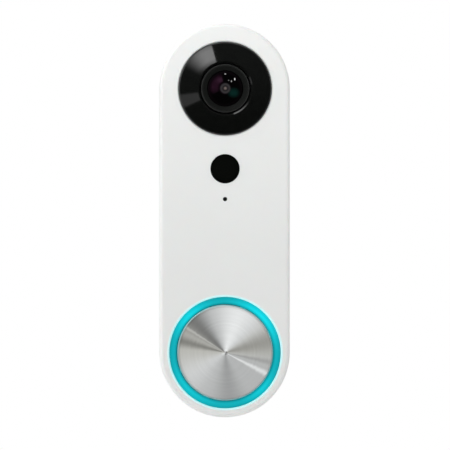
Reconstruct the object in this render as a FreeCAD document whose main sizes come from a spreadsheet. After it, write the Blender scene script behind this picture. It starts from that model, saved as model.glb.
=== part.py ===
import FreeCAD, Part
import Sketcher
import math
import os

# Wired video doorbell: a slim upright body with full-round ends, a wide-angle
# camera behind a black infrared window at the top, a motion sensor and a
# microphone below it, and a round metal push button in a lit ring at the bottom.
#
# Frame: millimetres, +Z up, +X to the viewer's right, the front faces -Y.
# The wall is the plane Y = 0 and the origin is the middle of the bracket's back.
# "Depth" below is the distance from the wall towards the viewer, so Y = -depth.

V = FreeCAD.Vector
doc = FreeCAD.newDocument("video_doorbell")
sheet = doc.addObject("Spreadsheet::Sheet", "Dims")


class Q:
    """A number that also carries the sheet expression it comes from."""

    def __init__(self, v, e):
        self.v, self.e = float(v), e

    def __add__(self, o):
        o = q(o)
        return Q(self.v + o.v, "(%s + %s)" % (self.e, o.e))

    def __sub__(self, o):
        o = q(o)
        return Q(self.v - o.v, "(%s - %s)" % (self.e, o.e))

    def __mul__(self, o):
        o = q(o)
        return Q(self.v * o.v, "(%s * %s)" % (self.e, o.e))

    def __truediv__(self, o):
        o = q(o)
        return Q(self.v / o.v, "(%s / %s)" % (self.e, o.e))

    def __radd__(self, o):
        return q(o) + self

    def __rsub__(self, o):
        return q(o) - self

    def __rmul__(self, o):
        return q(o) * self

    def __neg__(self):
        return q(0) - self


def q(x):
    return x if isinstance(x, Q) else Q(x, "(%.6f)" % x)


class Dims:
    pass


D = Dims()
TABLE = [
    # whole body
    ("body_rad", 21.15, "half width of the body and radius of its round ends"),
    ("arc_z", 43.1, "height of the end-arc centres above and below the middle"),
    ("face_d", 22.4, "depth of the flat front face"),
    ("edge_rad", 1.2, "round on the faceplate's front edge"),
    # wall bracket
    ("brk_rad", 18.15, "bracket half width"),
    ("brk_thk", 2.0, "bracket plate"),
    ("brk_rim", 3.4, "depth of the bracket's stiffening rim"),
    ("win_x", 8.0, "half width of the wire window"),
    ("win_z", 14.0, "half height of the wire window"),
    ("slot_z", 33.0, "height of each wall screw slot from the middle"),
    ("slot_rad", 2.3, "half width of a wall screw slot"),
    ("slot_len", 8.6, "length of a wall screw slot"),
    # rear housing
    ("skirt_d", 0.6, "gap between the housing's skirt and the wall"),
    ("recess_rad", 19.35, "recess for the bracket"),
    ("recess_d", 3.4, "depth of the recess floor"),
    ("back_d", 5.2, "inside of the back wall"),
    ("seam_d", 10.0, "seam between the housing and the faceplate"),
    ("neck_rad", 19.35, "housing under the faceplate"),
    ("cav_rad", 17.85, "inside of the housing"),
    ("rim_d", 18.0, "front rim of the housing"),
    ("boss_rad", 2.5, "housing screw boss"),
    ("boss_d", 15.8, "top of the housing's screw bosses"),
    # chassis
    ("chs_d", 19.4, "front of the chassis plate"),
    ("chs_skirt", 16.6, "back of the chassis's locating skirt"),
    # faceplate
    ("cov_back", 10.1, "back edge of the faceplate"),
    ("cov_in_rad", 19.75, "inside of the faceplate's skirt"),
    ("cov_in_d", 20.8, "inside of the faceplate's front wall"),
    ("cam_open", 15.3, "camera opening"),
    ("pir_z", 16.9, "height of the motion sensor"),
    ("pir_open", 4.8, "motion sensor opening"),
    ("mic_z", 7.0, "height of the microphone hole"),
    ("mic_open", 0.7, "microphone hole"),
    ("btn_open", 18.2, "button opening"),
    # camera
    ("win_rad", 15.15, "infrared window, outside"),
    ("win_bore", 8.45, "infrared window, hole for the lens"),
    ("head_rad", 7.85, "lens head"),
    ("thread_rad", 6.0, "lens barrel thread, M12"),
    ("dome_rad", 10.0, "front lens, outer curvature"),
    ("glass_rad", 6.0, "front lens, edge radius"),
    ("apex_d", 25.3, "tip of the front lens"),
    ("travel_x", 6.2, "travel of the infrared-cut filter carriage"),
    # button
    ("cap_rad", 15.62, "metal button cap"),
    ("ring_in", 15.78, "light ring, inside"),
    ("ring_out", 18.05, "light ring, outside"),
    ("ring_d", 22.15, "front of the light ring"),
    ("cap_d", 22.7, "front of the button cap"),
    ("post_pcr", 11.6, "pitch radius of the button's guide posts"),
    ("led_pcr", 15.9, "pitch radius of the ring's lights"),
    # boards
    ("main_d", 14.6, "back of the main board"),
    ("main_thk", 1.2, "main board"),
    ("pow_d", 8.4, "back of the power board"),
    ("led_d", 16.0, "back of the button board"),
]
for n, (alias, value, note) in enumerate(TABLE, start=1):
    sheet.set("A%d" % n, note)
    sheet.set("B%d" % n, "%g" % value)
    sheet.setAlias("B%d" % n, alias)
    setattr(D, alias, Q(value, "Dims." + alias))
doc.recompute()

NODES = []  # (node name, document object)


# ---------------------------------------------------------------- helpers
def bind(obj, prop, value):
    value = q(value)
    target = obj
    parts = prop.split(".")
    if len(parts) == 1:
        setattr(target, prop, value.v)
    if "Dims." in value.e:
        obj.setExpression(prop, value.e)


def plane(body, role):
    return [f for f in body.Origin.OriginFeatures if f.Role == role][0]


def new_body(label, z=None):
    """A body; z lifts it, for pieces drawn around their own axis."""
    b = doc.addObject("PartDesign::Body", label)
    b.Label = label
    if z is not None:
        z = q(z)
        b.Placement = FreeCAD.Placement(V(0, 0, z.v), FreeCAD.Rotation())
        if "Dims." in z.e:
            b.setExpression("Placement.Base.z", z.e)
    NODES.append((label, b))
    return b


def sketch(body, depth=0, role="XZ_Plane"):
    s = body.newObject("Sketcher::SketchObject", body.Label + "_sk")
    s.AttachmentSupport = [(plane(body, role), "")]
    s.MapMode = "FlatFace"
    depth = q(depth)
    s.AttachmentOffset = FreeCAD.Placement(V(0, 0, depth.v), FreeCAD.Rotation())
    if "Dims." in depth.e:
        s.setExpression("AttachmentOffset.Base.z", depth.e)
    return s


def dim(s, kind, args, value):
    value = q(value)
    i = s.addConstraint(Sketcher.Constraint(kind, *(list(args) + [value.v])))
    s.renameConstraint(i, "k%d" % i)
    if "Dims." in value.e:
        s.setExpression("Constraints.k%d" % i, value.e)


def fix(s, geo, pos, x, z):
    x, z = q(x), q(z)
    if abs(x.v) < 1e-9:
        s.addConstraint(Sketcher.Constraint("PointOnObject", geo, pos, -2))
    else:
        dim(s, "DistanceX", (-1, 1, geo, pos), x)
    if abs(z.v) < 1e-9:
        s.addConstraint(Sketcher.Constraint("PointOnObject", geo, pos, -1))
    else:
        dim(s, "DistanceY", (-1, 1, geo, pos), z)


def circle(s, x, z, r):
    x, z, r = q(x), q(z), q(r)
    g = s.addGeometry(Part.Circle(V(x.v, z.v, 0), V(0, 0, 1), r.v), False)
    if abs(x.v) < 1e-9 and abs(z.v) < 1e-9:
        s.addConstraint(Sketcher.Constraint("Coincident", g, 3, -1, 1))
    else:
        fix(s, g, 3, x, z)
    dim(s, "Radius", (g,), r)


def poly(s, pts):
    pts = [(q(a), q(b)) for a, b in pts]
    n = len(pts)
    first = None
    for i in range(n):
        a, b = pts[i], pts[(i + 1) % n]
        g = s.addGeometry(Part.LineSegment(V(a[0].v, a[1].v, 0), V(b[0].v, b[1].v, 0)), False)
        if first is None:
            first = g
    for i in range(n):
        s.addConstraint(Sketcher.Constraint("Coincident", first + i, 2, first + (i + 1) % n, 1))
    for i in range(n):
        fix(s, first + i, 1, pts[i][0], pts[i][1])


def rect(s, x0, z0, x1, z1):
    poly(s, [(x0, z0), (x1, z0), (x1, z1), (x0, z1)])


def stadium(s, r, cz, cx=0, upright=True):
    """Two half circles joined by straight sides, centres cz above and below (cx, 0)."""
    r, cz = q(r), q(cz)
    R, C = r.v, cz.v
    right = s.addGeometry(Part.LineSegment(V(R, -C, 0), V(R, C, 0)), False)
    top = s.addGeometry(Part.ArcOfCircle(Part.Circle(V(0, C, 0), V(0, 0, 1), R), 0, math.pi), False)
    left = s.addGeometry(Part.LineSegment(V(-R, C, 0), V(-R, -C, 0)), False)
    bot = s.addGeometry(Part.ArcOfCircle(Part.Circle(V(0, -C, 0), V(0, 0, 1), R), math.pi, 2 * math.pi), False)
    for a, pa, b, pb in ((right, 2, top, 1), (top, 2, left, 1), (left, 2, bot, 1), (bot, 2, right, 1)):
        s.addConstraint(Sketcher.Constraint("Tangent", a, pa, b, pb))
    s.addConstraint(Sketcher.Constraint("PointOnObject", top, 3, -2))
    s.addConstraint(Sketcher.Constraint("PointOnObject", bot, 3, -2))
    dim(s, "DistanceY", (-1, 1, top, 3), cz)
    dim(s, "DistanceY", (-1, 1, bot, 3), -cz)
    dim(s, "Radius", (top,), r)


def slot(s, x, z, r, length):
    """An upright slot at (x, z) with round ends of radius r and this whole length."""
    x, z, r, length = q(x), q(z), q(r), q(length)
    half = length / 2 - r
    up, lo = z + half, z - half
    R = r.v
    a = s.addGeometry(Part.LineSegment(V(x.v + R, lo.v, 0), V(x.v + R, up.v, 0)), False)
    t = s.addGeometry(Part.ArcOfCircle(Part.Circle(V(x.v, up.v, 0), V(0, 0, 1), R), 0, math.pi), False)
    b = s.addGeometry(Part.LineSegment(V(x.v - R, up.v, 0), V(x.v - R, lo.v, 0)), False)
    u = s.addGeometry(Part.ArcOfCircle(Part.Circle(V(x.v, lo.v, 0), V(0, 0, 1), R), math.pi, 2 * math.pi), False)
    for m, pm, n, pn in ((a, 2, t, 1), (t, 2, b, 1), (b, 2, u, 1), (u, 2, a, 1)):
        s.addConstraint(Sketcher.Constraint("Tangent", m, pm, n, pn))
    fix(s, t, 3, x, up)
    fix(s, u, 3, x, lo)
    dim(s, "Radius", (t,), r)


def pad(body, s, length):
    p = body.newObject("PartDesign::Pad", body.Label + "_pad")
    p.Profile = s
    bind(p, "Length", length)
    doc.recompute()
    return p


def cut(body, s, length, forward=True):
    """A pocket of this length; forward cuts along the sketch's normal."""
    before = body.Shape.Volume
    p = body.newObject("PartDesign::Pocket", body.Label + "_pocket")
    p.Profile = s
    bind(p, "Length", length)
    p.Reversed = bool(forward)
    doc.recompute()
    if not body.Shape.Volume < before - 1e-6:
        raise RuntimeError("%s: a pocket removed nothing" % body.Label)
    return p


def revolve(body, pts):
    """Turns a closed profile of (depth, radius) points about the piece's own Y axis."""
    s = sketch(body, 0, "YZ_Plane")
    poly(s, [(-q(d), r) for d, r in pts])
    r = body.newObject("PartDesign::Revolution", body.Label + "_rev")
    r.Profile = s
    r.ReferenceAxis = (s, ["H_Axis"])
    r.Angle = 360
    doc.recompute()
    return r


def dress(body, kind, size, test):
    """Fillet or chamfer on the edges of the tip that pass the test."""
    tip = body.Tip
    names = ["Edge%d" % (i + 1) for i, e in enumerate(tip.Shape.Edges) if test(e)]
    if not names:
        raise RuntimeError("%s: no edge for the %s" % (body.Label, kind))
    f = body.newObject("PartDesign::" + kind, body.Label + "_" + kind.lower())
    f.Base = (tip, names)
    bind(f, "Radius" if kind == "Fillet" else "Size", size)
    doc.recompute()
    return f


def at_depth(e, d, tol=1e-4):
    b = e.BoundBox
    return abs(b.YMin + d) < tol and abs(b.YMax + d) < tol


def round_edge(e, x, z, r, tol=1e-3):
    """True for a circle edge of this radius about (x, z)."""
    c = getattr(e, "Curve", None)
    return (
        c is not None
        and hasattr(c, "Radius")
        and abs(c.Radius - r) < tol
        and abs(c.Center.x - x) < tol
        and abs(c.Center.z - z) < tol
    )


def box_obj(name, x0, x1, d0, d1, z0, z1):
    """A Part::Box between these planes, its sizes and place bound to the sheet."""
    x0, x1, d0, d1, z0, z1 = map(q, (x0, x1, d0, d1, z0, z1))
    b = doc.addObject("Part::Box", name)
    bind(b, "Length", x1 - x0)
    bind(b, "Width", d1 - d0)
    bind(b, "Height", z1 - z0)
    b.Placement = FreeCAD.Placement(V(x0.v, -d1.v, z0.v), FreeCAD.Rotation())
    for prop, val in (("x", x0), ("y", -d1), ("z", z0)):
        if "Dims." in val.e:
            b.setExpression("Placement.Base." + prop, val.e)
    return b


FRONT = FreeCAD.Rotation(V(1, 0, 0), 90)  # turns +Z to -Y, towards the viewer


def cyl_obj(name, x, z, r, d0, d1):
    """A Part::Cylinder along the depth, from d0 to d1."""
    x, z, r, d0, d1 = map(q, (x, z, r, d0, d1))
    c = doc.addObject("Part::Cylinder", name)
    bind(c, "Radius", r)
    bind(c, "Height", d1 - d0)
    c.Placement = FreeCAD.Placement(V(x.v, -d0.v, z.v), FRONT)
    for prop, val in (("x", x), ("y", -d0), ("z", z)):
        if "Dims." in val.e:
            c.setExpression("Placement.Base." + prop, val.e)
    return c


def sphere_obj(name, x, d, z, r):
    x, d, z, r = map(q, (x, d, z, r))
    c = doc.addObject("Part::Sphere", name)
    bind(c, "Radius", r)
    c.Placement = FreeCAD.Placement(V(x.v, -d.v, z.v), FreeCAD.Rotation())
    for prop, val in (("x", x), ("y", -d), ("z", z)):
        if "Dims." in val.e:
            c.setExpression("Placement.Base." + prop, val.e)
    return c


def cut_obj(label, base, tool):
    c = doc.addObject("Part::Cut", label)
    c.Base, c.Tool = base, tool
    return c


def common_obj(label, a, b):
    c = doc.addObject("Part::Common", label)
    c.Base, c.Tool = a, b
    return c


def node(label, obj):
    obj.Label = label
    NODES.append((label, obj))
    return obj


def group(label, shapes):
    """Separate solids kept in one node."""
    f = doc.addObject("Part::Feature", label)
    f.Shape = Part.makeCompound(shapes)
    return node(label, f)


def piece(label, shape):
    f = doc.addObject("Part::Feature", label)
    f.Shape = shape
    return node(label, f)


def sbox(x0, x1, d0, d1, z0, z1):
    return Part.makeBox(x1 - x0, d1 - d0, z1 - z0, V(x0, -d1, z0))


def scyl(x, z, r, d0, d1):
    return Part.makeCylinder(r, d1 - d0, V(x, -d0, z), V(0, -1, 0))


def srev(pts, x=0.0, z=0.0):
    """A turned solid from (depth, radius) points."""
    w = Part.makePolygon([V(0, -d, r) for d, r in pts] + [V(0, -pts[0][0], pts[0][1])])
    s = Part.Face(w).revolve(V(0, 0, 0), V(0, 1, 0), 360)
    s.translate(V(x, 0, z))
    return s


def screw(head_r, head_h, shank_r, length, recess=0.5):
    """A cross-recessed pan-head screw along +Z: its head's top is at 0 and its tip at -(head_h + length)."""
    edge = min(0.35, head_h * 0.4)
    tip = shank_r * 0.7
    prof = [
        (0, 0), (head_r - edge, 0), (head_r, -edge), (head_r, -head_h),
        (shank_r, -head_h), (shank_r, -(head_h + length - tip)), (shank_r * 0.35, -(head_h + length)), (0, -(head_h + length)),
    ]
    w = Part.makePolygon([V(r, 0, z) for r, z in prof] + [V(0, 0, 0)])
    s = Part.Face(w).revolve(V(0, 0, 0), V(0, 0, 1), 360)
    arm, wide, deep = head_r * recess, head_r * 0.2, head_h * 0.55
    a = Part.makeBox(2 * arm, wide, deep + 1, V(-arm, -wide / 2, -deep))
    b = Part.makeBox(wide, 2 * arm, deep + 1, V(-wide / 2, -arm, -deep))
    return s.cut(a.fuse(b))


def facing(shape, x, depth, z, rot):
    s = shape.copy()
    s.Placement = FreeCAD.Placement(V(x, -depth, z), rot)
    return s


BACKWARD = FreeCAD.Rotation(V(1, 0, 0), -90)  # a screw's head looks at the wall (+Y), its shank runs forward
FORWARD = FreeCAD.Rotation(V(1, 0, 0), 90)  # a screw's head looks at the viewer (-Y)


def strip(label, pts, bend, thk, x0, x1):
    """A flat ribbon of this thickness along (depth, z) points, between two x planes, with round bends."""
    def offset(side):
        edges, last = [], None
        n = len(pts)
        for i in range(n - 1):
            a, b = V(0, -pts[i][0], pts[i][1]), V(0, -pts[i + 1][0], pts[i + 1][1])
            u = (b - a).normalize()
            nrm = V(0, -u.z, u.y) * (side * thk / 2)
            start = a + nrm if i == 0 else last
            if i == n - 2:
                end = b + nrm
                edges.append(Part.LineSegment(start, end).toShape())
                last = end
                continue
            c = V(0, -pts[i + 2][0], pts[i + 2][1])
            w = (c - b).normalize()
            turn = u.y * w.z - u.z * w.y
            ang = math.acos(max(-1, min(1, u.dot(w))))
            trim = bend * math.tan(ang / 2)
            p0, p1 = b - u * trim, b + w * trim
            nrm2 = V(0, -w.z, w.y) * (side * thk / 2)
            e0, e1 = p0 + nrm, p1 + nrm2
            bis = (w - u).normalize()
            centre = b + bis * (bend / math.cos(ang / 2))
            rad = (e0 - centre).Length
            mid = centre - bis * rad
            edges.append(Part.LineSegment(start, e0).toShape())
            edges.append(Part.Arc(e0, mid, e1).toShape())
            last = e1
        return edges, last

    up, up_end = offset(1)
    dn, dn_end = offset(-1)
    first_up, first_dn = up[0].Vertexes[0].Point, dn[0].Vertexes[0].Point
    caps = [Part.LineSegment(up_end, dn_end).toShape(), Part.LineSegment(first_up, first_dn).toShape()]
    wire = Part.Wire(Part.__sortEdges__(up + dn + caps))
    solid = Part.Face(wire).extrude(V(x1 - x0, 0, 0))
    solid.translate(V(x0, 0, 0))
    return piece(label, solid)


def wire_tube(pts, r, bend):
    """A round wire along (x, depth, z) points with tangent arcs at its corners."""
    P = [V(x, -d, z) for x, d, z in pts]
    edges, start = [], P[0]
    for i in range(1, len(P) - 1):
        u, w = (P[i] - P[i - 1]).normalize(), (P[i + 1] - P[i]).normalize()
        ang = u.getAngle(w)
        trim = bend * math.tan(ang / 2)
        e0, e1 = P[i] - u * trim, P[i] + w * trim
        bis = (w - u).normalize()
        centre = P[i] + bis * (bend / math.cos(ang / 2))
        edges.append(Part.LineSegment(start, e0).toShape())
        edges.append(Part.Arc(e0, centre - bis * bend, e1).toShape())
        start = e1
    edges.append(Part.LineSegment(start, P[-1]).toShape())
    path = Part.Wire(edges)
    first = (P[1] - P[0]).normalize()
    prof = Part.Wire([Part.Circle(P[0], first, r).toShape()])
    solid = path.makePipeShell([prof], True, False)
    want = math.pi * r * r * path.Length
    if abs(solid.Volume - want) > 0.02 * want:
        raise RuntimeError("a wire's volume is wrong")
    return solid


Z0 = D.arc_z  # camera axis
ZB = -D.arc_z  # button axis
BOSSES = [(7.5, 57.05), (-7.5, 57.05), (15.65, 0.0), (-15.65, 0.0), (11.4, -54.4), (-11.4, -54.4)]
SPEAKER_Z = -38.0
TERMINALS = [(6.5, -8.5), (-6.5, -8.5)]

# ---------------------------------------------------------------- wall bracket
b = new_body("wall_bracket")
s = sketch(b, 0)
stadium(s, D.brk_rad, D.arc_z)
pad(b, s, D.brk_thk)
s = sketch(b, D.brk_thk)
stadium(s, D.brk_rad, D.arc_z)
stadium(s, D.brk_rad - 1.2, D.arc_z)
pad(b, s, D.brk_rim - D.brk_thk)
# frame that stiffens the wire window
s = sketch(b, D.brk_thk)
rect(s, -D.win_x - 1.6, -D.win_z - 1.6, D.win_x + 1.6, D.win_z + 1.6)
pad(b, s, 0.8)
# tongue that hooks under the housing's top edge
s = sketch(b, 1.7)
rect(s, -4.5, 58.5, 4.5, 62.6)
pad(b, s, 1.3)
# tab that takes the security screw
s = sketch(b, 1.0)
rect(s, -4.6, -58.8, 4.6, -56.2)
pad(b, s, 6.2)
s = sketch(b, 0)
rect(s, -D.win_x, -D.win_z, D.win_x, D.win_z)
cut(b, s, D.brk_rim + 1)
s = sketch(b, 0)
slot(s, 0, D.slot_z, D.slot_rad, D.slot_len)
slot(s, 0, -D.slot_z, D.slot_rad, D.slot_len)
cut(b, s, D.brk_thk)
# threaded hole for the security screw, along Z
s = sketch(b, -62.5, "XY_Plane")
circle(s, 0, -4.8, 1.55)
cut(b, s, 10)
dress(b, "Chamfer", 1.1, lambda e: at_depth(e, 2.0) and abs(abs(e.BoundBox.Center.z) - 33.0) < 4.4 and e.BoundBox.XMax < 2.4 and e.BoundBox.XMin > -2.4)

# ---------------------------------------------------------------- rear housing
b = new_body("rear_housing")
s = sketch(b, D.skirt_d)
stadium(s, D.body_rad, D.arc_z)
pad(b, s, D.seam_d - D.skirt_d)
s = sketch(b, D.seam_d)
stadium(s, D.neck_rad, D.arc_z)
pad(b, s, D.rim_d - D.seam_d)
s = sketch(b, D.skirt_d)
stadium(s, D.recess_rad, D.arc_z)
cut(b, s, D.recess_d - D.skirt_d)
s = sketch(b, D.back_d)
stadium(s, D.cav_rad, D.arc_z)
cut(b, s, D.rim_d - D.back_d)
# soft corners outside
dress(b, "Fillet", 0.5, lambda e: at_depth(e, 0.6) and (e.BoundBox.XMax > 21.05 or e.BoundBox.XMin < -21.05))
dress(b, "Chamfer", 0.25, lambda e: at_depth(e, 10.0) and (e.BoundBox.XMax > 21.05 or e.BoundBox.XMin < -21.05))
# walls of the terminal pocket and of the security pocket, from inside
s = sketch(b, D.back_d)
rect(s, -13.4, -15.4, 13.4, -1.6)
pad(b, s, 2.4)
s = sketch(b, D.back_d)
rect(s, -7.0, -61.2, 7.0, -53.2)
pad(b, s, 4.2)
# screw bosses, and standoffs for the power board
s = sketch(b, D.back_d)
for x, z in BOSSES:
    circle(s, x, z, D.boss_rad)
pad(b, s, D.boss_d - D.back_d)
s = sketch(b, D.back_d)
for x, z in ((10.5, 17.6), (-10.5, 17.6), (10.5, -19.0), (-10.5, -19.0)):
    circle(s, x, z, 1.8)
pad(b, s, D.pow_d - D.back_d)
s = sketch(b, D.back_d)
for x, z in ((9.0, 50.0), (-9.0, 50.0), (9.0, 27.6), (-9.0, 27.6)):
    circle(s, x, z, 1.6)
pad(b, s, 6.8 - D.back_d)
# speaker seat
s = sketch(b, D.back_d)
circle(s, 0, SPEAKER_Z, 13.6)
circle(s, 0, SPEAKER_Z, 12.75)
pad(b, s, 1.8)
# pockets from behind
s = sketch(b, D.recess_d)
rect(s, -12.0, -14.0, 12.0, -3.0)
cut(b, s, 2.8)
s = sketch(b, D.recess_d)
rect(s, -5.6, -60.0, 5.6, -54.6)
cut(b, s, 4.6)
s = sketch(b, D.recess_d)
for x, z in BOSSES:
    circle(s, x, z, 1.2)
cut(b, s, D.boss_d - D.recess_d)
s = sketch(b, D.recess_d)
for x, z in BOSSES:
    circle(s, x, z, 2.0)
cut(b, s, 1.3)
s = sketch(b, 6.2)
for x, z in TERMINALS:
    circle(s, x, z, 2.6)
cut(b, s, 1.4)
# pilot holes in the standoffs
s = sketch(b, 6.0)
for x, z in ((10.5, 17.6), (-10.5, 17.6), (10.5, -19.0), (-10.5, -19.0)):
    circle(s, x, z, 0.85)
cut(b, s, D.pow_d - 6.0)
# sound holes behind the speaker
s = sketch(b, D.recess_d)
circle(s, 0, SPEAKER_Z, 1.1)
for k in range(6):
    a = math.radians(60 * k)
    circle(s, 4.2 * math.cos(a), SPEAKER_Z + 4.2 * math.sin(a), 1.1)
cut(b, s, D.back_d - D.recess_d)
# groove for the housing gasket
s = sketch(b, D.rim_d - 0.5)
stadium(s, D.cav_rad + 1.15, D.arc_z)
stadium(s, D.cav_rad + 0.35, D.arc_z)
cut(b, s, 0.5)
# groove that the bracket's tongue hooks into
s = sketch(b, 1.4)
rect(s, -4.9, 61.2, 4.9, 62.9)
cut(b, s, 1.9)
# sound slots in the skirt, both sides
s = sketch(b, -23, "YZ_Plane")
for z in (-46.0, -42.0, -38.0, -34.0, -30.0):
    rect(s, -2.7, z - 0.9, -0.3, z + 0.9)
cut(b, s, 46)
# shallow grooves for the faceplate's clips, both sides
s = sketch(b, 13.0)
for z in (-34.0, 0.0, 34.0):
    rect(s, 19.0, z - 3.6, 20.25, z + 3.6)
    rect(s, -20.25, z - 3.6, -19.0, z + 3.6)
cut(b, s, 1.2)
# security screw's hole and the recess for its head, from below
s = sketch(b, -65, "XY_Plane")
circle(s, 0, -4.8, 1.65)
cut(b, s, 6)
s = sketch(b, -65, "XY_Plane")
circle(s, 0, -4.8, 2.9)
cut(b, s, 2.8)

# ---------------------------------------------------------------- housing gasket
b = new_body("housing_gasket")
s = sketch(b, D.rim_d - 0.5)
stadium(s, D.cav_rad + 1.1, D.arc_z)
stadium(s, D.cav_rad + 0.4, D.arc_z)
pad(b, s, 0.5)

# ---------------------------------------------------------------- chassis
MAIN_SCREWS = [(12.6, 24.6), (-12.6, 24.6), (12.6, -20.0), (-12.6, -20.0)]
LED_SCREWS = [(8.5 * math.cos(math.radians(a)), 8.5 * math.sin(math.radians(a))) for a in (30, 150, 270)]
b = new_body("chassis")
s = sketch(b, D.rim_d)
stadium(s, D.neck_rad, D.arc_z)
pad(b, s, D.chs_d - D.rim_d)
dress(b, "Chamfer", 0.3, lambda e: at_depth(e, 19.4))
s = sketch(b, D.chs_skirt)
stadium(s, D.cav_rad - 0.15, D.arc_z)
stadium(s, D.cav_rad - 0.9, D.arc_z)
pad(b, s, D.rim_d - D.chs_skirt)
s = sketch(b, D.boss_d)
for x, z in BOSSES:
    circle(s, x, z, D.boss_rad - 0.1)
pad(b, s, D.rim_d - D.boss_d)
s = sketch(b, D.main_d + D.main_thk)
for x, z in MAIN_SCREWS:
    circle(s, x, z, 1.9)
pad(b, s, D.rim_d - D.main_d - D.main_thk)
s = sketch(b, D.led_d + 1.0)
for x, z in LED_SCREWS:
    circle(s, x, ZB + z, 1.5)
pad(b, s, D.rim_d - D.led_d - 1.0)
# ring that bears on the lens holder
s = sketch(b, 13.4)
circle(s, 0, Z0, 9.7)
circle(s, 0, Z0, 8.45)
pad(b, s, D.rim_d - 13.4)
# the bosses stay inside the housing's wall
s = sketch(b, D.boss_d)
stadium(s, D.cav_rad + 1.9, D.arc_z)
stadium(s, D.cav_rad - 0.15, D.arc_z)
cut(b, s, D.rim_d - D.boss_d)
# openings: lens, motion sensor, microphone, switch
s = sketch(b, D.rim_d)
circle(s, 0, Z0, 8.45)
circle(s, 0, D.pir_z, 5.0)
circle(s, 0, D.mic_z, 2.55)
circle(s, 0, ZB, 5.0)
for a in (90, 210, 330):
    circle(s, D.post_pcr * math.cos(math.radians(a)), ZB + D.post_pcr * math.sin(math.radians(a)), 1.55)
for k in range(8):
    a = math.radians(22.5 + 45 * k)
    circle(s, D.led_pcr * math.cos(a), ZB + D.led_pcr * math.sin(a), 1.15)
cut(b, s, D.chs_d - D.rim_d)
# pilot holes for screws from behind
s = sketch(b, D.boss_d)
for x, z in BOSSES:
    circle(s, x, z, 1.1)
cut(b, s, 2.6)
s = sketch(b, D.main_d + D.main_thk)
for x, z in MAIN_SCREWS:
    circle(s, x, z, 0.85)
cut(b, s, 2.8)
s = sketch(b, D.led_d + 1.0)
for x, z in LED_SCREWS:
    circle(s, x, ZB + z, 0.75)
cut(b, s, 1.8)
# groove for the window gasket
s = sketch(b, D.chs_d - 0.5)
circle(s, 0, Z0, 16.5)
circle(s, 0, Z0, 15.5)
cut(b, s, 0.5)

# ---------------------------------------------------------------- faceplate
b = new_body("faceplate")
s = sketch(b, D.cov_back)
stadium(s, D.body_rad, D.arc_z)
pad(b, s, D.face_d - D.cov_back)
dress(b, "Fillet", D.edge_rad, lambda e: at_depth(e, 22.4))
dress(b, "Chamfer", 0.25, lambda e: at_depth(e, 10.1))
s = sketch(b, D.cov_back)
stadium(s, D.cov_in_rad, D.arc_z)
cut(b, s, D.cov_in_d - D.cov_back)
# clip bumps inside the skirt
s = sketch(b, 13.15)
for z in (-34.0, 0.0, 34.0):
    rect(s, 19.45, z - 3.2, 20.35, z + 3.2)
    rect(s, -20.35, z - 3.2, -19.45, z + 3.2)
pad(b, s, 0.9)
# locating ribs on the back of the front wall
s = sketch(b, D.cov_in_d - 0.3)
circle(s, 0, D.pir_z, 7.6)
circle(s, 0, D.pir_z, 6.7)
pad(b, s, 0.3)
s = sketch(b, D.cov_in_d)
circle(s, 0, Z0, D.cam_open)
circle(s, 0, D.pir_z, D.pir_open)
circle(s, 0, D.mic_z, D.mic_open)
circle(s, 0, ZB, D.btn_open)
cut(b, s, D.face_d - D.cov_in_d)
dress(b, "Chamfer", 0.3, lambda e: at_depth(e, 22.4) and (round_edge(e, 0, -43.1, 18.2) or round_edge(e, 0, 43.1, 15.3)))
dress(b, "Chamfer", 0.2, lambda e: at_depth(e, 22.4) and (round_edge(e, 0, 17.0, 4.9) or round_edge(e, 0, 7.0, 0.7)))

# ---------------------------------------------------------------- camera window
blank = new_body("window_blank", Z0)
NODES.pop()
revolve(blank, [
    (19.4, 14.2), (19.4, 17.0), (20.7, 17.0), (20.7, D.win_rad), (22.45, D.win_rad), (22.75, D.win_rad - 0.1),
    (22.95, D.win_rad - 0.35), (24.4, 13.0), (25.2, 10.0), (25.2, 9.0), (24.84, 8.95), (24.72, D.win_bore + 0.06),
    (24.5, D.win_bore), (22.9, D.win_bore), (22.9, 9.6), (21.4, 14.2),
])
node("camera_window", common_obj("window_dome", blank, sphere_obj("window_sphere", 0, -12.38, Z0, 38.3)))
b = new_body("window_gasket", Z0)
revolve(b, [(18.9, 15.55), (18.9, 16.45), (19.4, 16.45), (19.4, 15.55)])
b = new_body("light_baffle", Z0)
revolve(b, [(19.4, 8.75), (19.4, 9.45), (22.9, 9.45), (22.9, 8.75)])

# infrared light board under the window
b = new_body("infrared_board", Z0)
revolve(b, [(19.4, 9.75), (19.4, 14.0), (20.2, 14.0), (20.2, 9.75)])
leds = []
for k in range(6):
    a = math.radians(30 + 60 * k)
    x, z = 11.9 * math.cos(a), Z0.v + 11.9 * math.sin(a)
    base = sbox(x - 1.3, x + 1.3, 20.2, 20.9, z - 1.3, z + 1.3)
    dome = Part.makeSphere(1.05, V(x, -20.9, z)).common(sbox(x - 2, x + 2, 20.9, 23.0, z - 2, z + 2))
    leds.append(base.fuse(dome))
group("infrared_leds", leds)

# ---------------------------------------------------------------- lens
b = new_body("lens_barrel", Z0)
revolve(b, [
    (12.6, 3.4), (12.6, D.thread_rad), (19.3, D.thread_rad), (19.3, D.head_rad), (23.4, D.head_rad), (23.4, 6.05),
    (20.4, 6.05), (20.4, 4.6), (18.0, 4.6), (18.0, 3.4),
])
b = new_body("lens_retainer", Z0)
revolve(b, [(23.4, 5.92), (23.4, D.head_rad), (24.05, D.head_rad), (24.3, D.head_rad - 0.25), (24.3, 7.25), (23.62, 5.92)])
b = new_body("barrel_seal", Z0)
revolve(b, [(18.6, D.thread_rad + 0.03), (18.6, 7.6), (19.3, 7.6), (19.3, D.thread_rad + 0.03)])

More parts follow.
